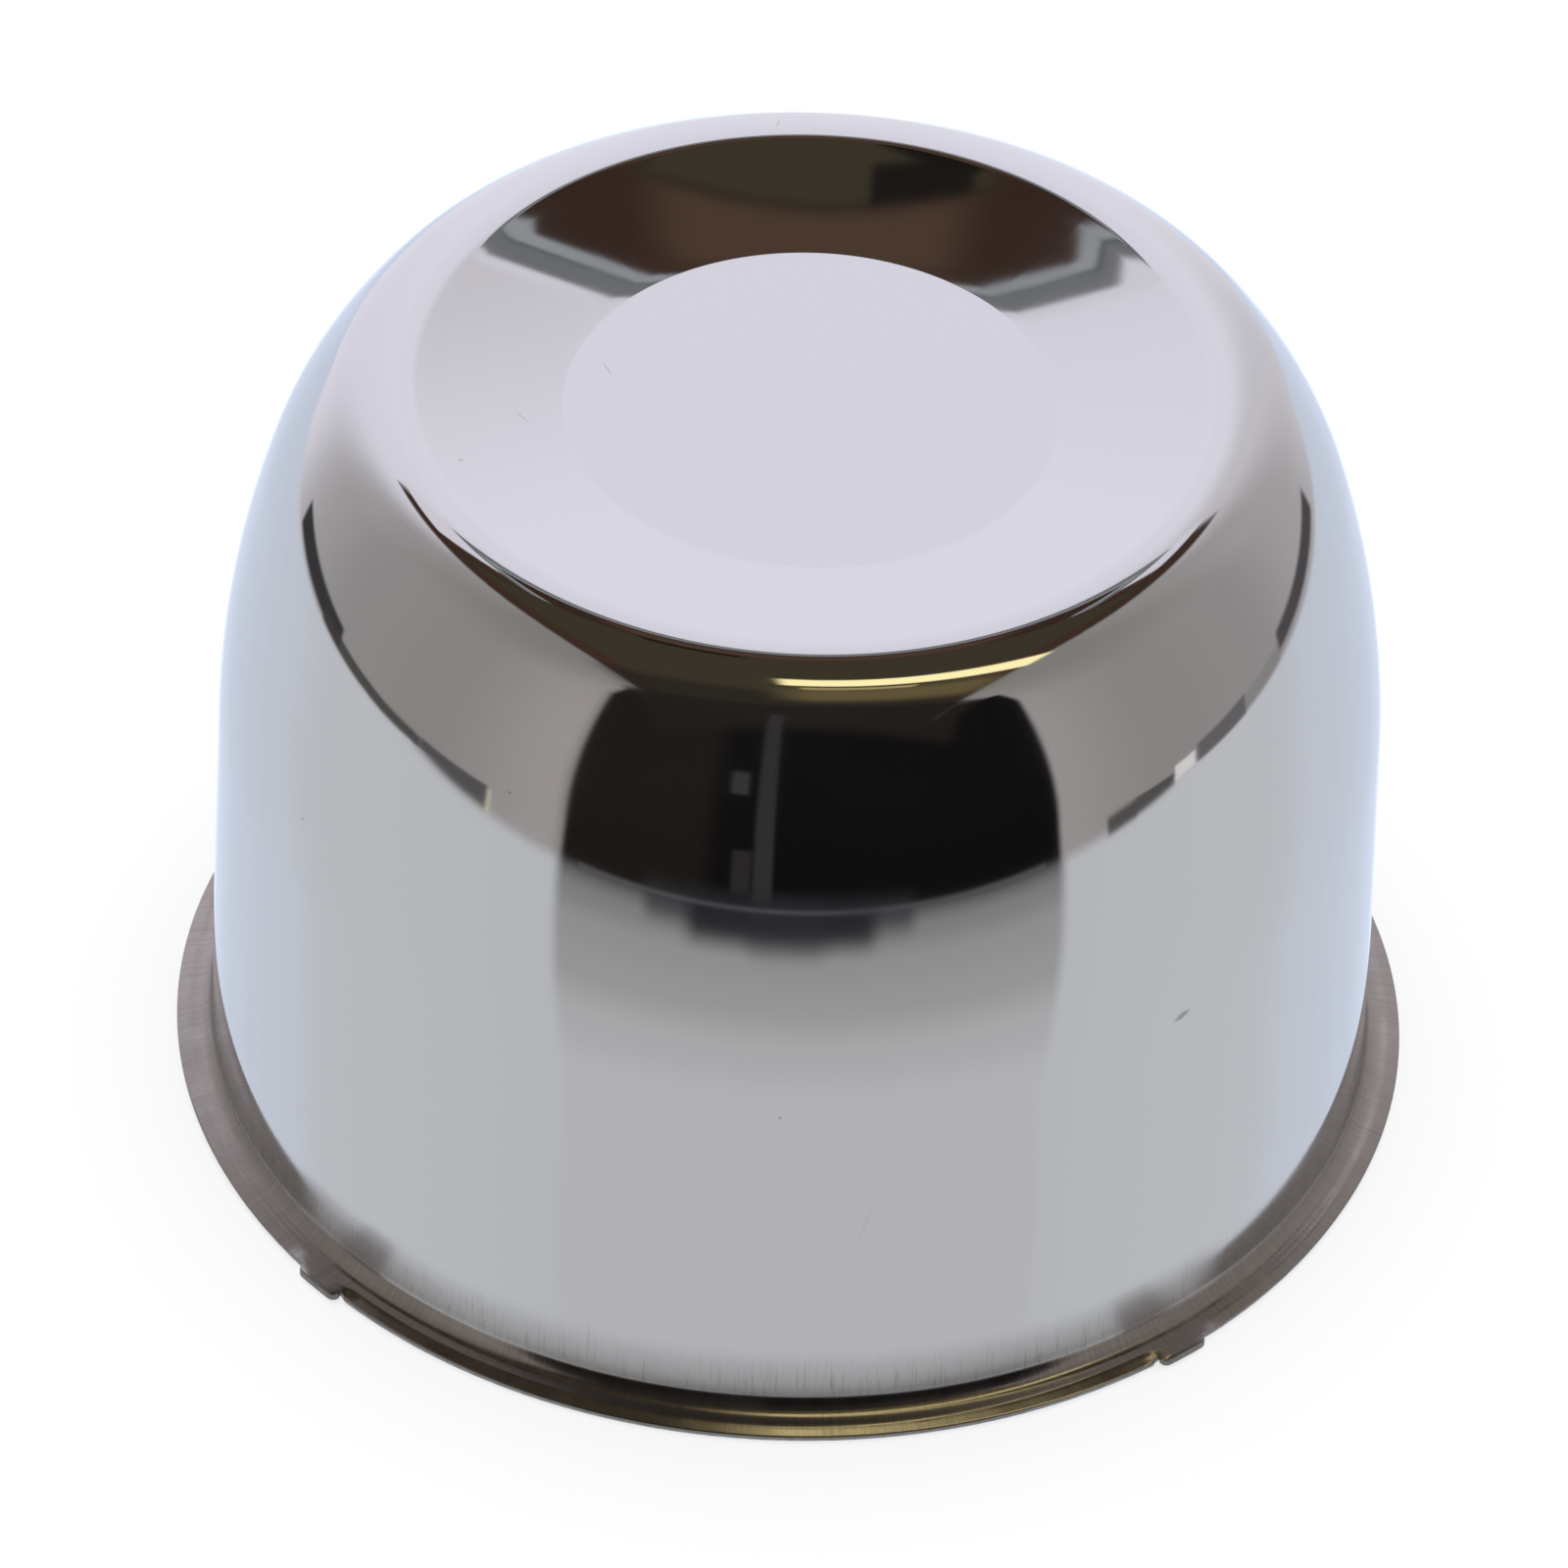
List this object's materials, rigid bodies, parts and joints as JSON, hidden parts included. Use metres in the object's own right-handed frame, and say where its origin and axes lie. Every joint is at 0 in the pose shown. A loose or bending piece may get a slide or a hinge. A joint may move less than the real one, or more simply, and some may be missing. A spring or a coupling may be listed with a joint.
{
  "type": "push-through wheel center cap",
  "caption": "Drawn and polished stainless cup with a dished crown and a thin flange, pushed through a wheel's centre bore from behind to cover the hub.",
  "frame": {"origin": "on the cap's axis, in the plane of the lip's lower edge, which the cap stands on", "axes": "+Z along the cap's axis towards the crown; -Y midway between the front pair of tabs"},
  "size_m": [0.1142, 0.1142, 0.0762],
  "materials": {
    "shell": "mirror-polished stainless steel, with the flange left brushed"
  },
  "bodies": {
    "root": {"cap_shell": "shell"}
  },
  "joints": []
}
